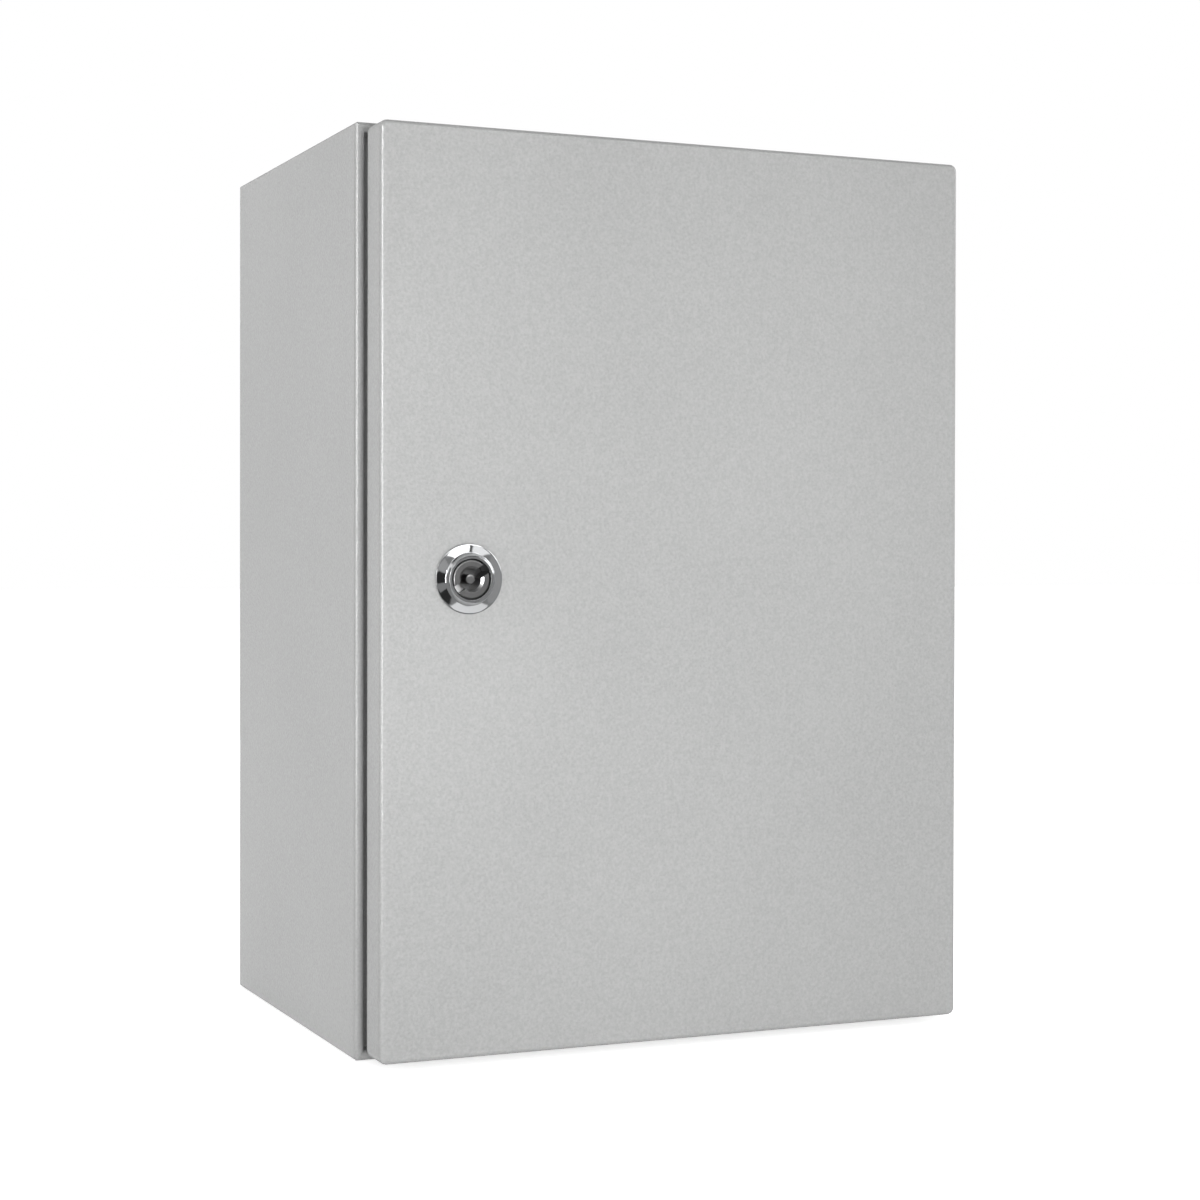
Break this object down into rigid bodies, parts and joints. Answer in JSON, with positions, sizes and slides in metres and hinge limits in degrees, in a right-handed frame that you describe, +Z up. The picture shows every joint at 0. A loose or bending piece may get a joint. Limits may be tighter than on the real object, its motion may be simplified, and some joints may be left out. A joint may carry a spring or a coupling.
{
  "type": "switchboard cabinet",
  "caption": "Wall-mounted sheet-steel cabinet with a folded body, a hinged door on concealed hinges, a quarter-turn key lock, a mounting plate and a gland plate.",
  "frame": {"origin": "centre of the rectangle of four wall holes, on the outer face of the rear wall", "axes": "+Z up, -Y out of the wall towards the door, +X to the right as seen from the front"},
  "size_m": [0.25, 0.1939, 0.35],
  "materials": {
    "powder_coat": "light grey textured powder coat",
    "galvanised_sheet": "galvanised, satin",
    "zinc_plated_steel": "zinc plated, satin",
    "zinc_casting": "die-cast zinc, dull nickel",
    "chrome": "polished chrome plate",
    "foam": "closed-cell polyurethane foam",
    "seal_rubber": "black rubber"
  },
  "bodies": {
    "cabinet": {"body_shell": "powder_coat", "gland_plate": "powder_coat", "gland_gasket": "foam", "gland_studs": "zinc_plated_steel", "gland_nuts": "zinc_plated_steel", "plate_studs": "zinc_plated_steel", "plate_spacers": "zinc_plated_steel", "mounting_plate": "galvanised_sheet", "plate_washers": "zinc_plated_steel", "plate_nuts": "zinc_plated_steel", "upper_hinge_bracket": "zinc_plated_steel", "lower_hinge_bracket": "zinc_plated_steel", "upper_hinge_pin": "zinc_plated_steel", "lower_hinge_pin": "zinc_plated_steel", "hinge_screws": "zinc_plated_steel", "hinge_nuts": "zinc_plated_steel", "body_earth_stud": "zinc_plated_steel", "body_earth_washer": "zinc_plated_steel", "body_earth_nut": "zinc_plated_steel"},
    "door": {"door_panel": "powder_coat", "door_gasket": "foam", "upper_hinge_leaf": "zinc_plated_steel", "lower_hinge_leaf": "zinc_plated_steel", "lock_housing": "chrome", "lock_seal": "seal_rubber", "lock_nut": "zinc_plated_steel", "door_earth_stud": "zinc_plated_steel", "door_earth_washer": "zinc_plated_steel", "door_earth_nut": "zinc_plated_steel"},
    "lock": {"lock_rotor": "zinc_casting", "rotor_seal": "seal_rubber", "lock_cam": "zinc_plated_steel", "cam_washer": "zinc_plated_steel", "cam_screw": "zinc_plated_steel"}
  },
  "joints": [
    {"name": "door_swing", "type": "hinge", "parent": "cabinet", "child": "door", "pos_m": [0.121, -0.1714, 0], "axis": [0, 0, 1], "range_deg": [0, 120]},
    {"name": "lock_turn", "type": "hinge", "parent": "door", "child": "lock", "pos_m": [-0.08864, -0.17, 0.005], "axis": [0, 1, 0], "range_deg": [0, 90]}
  ]
}
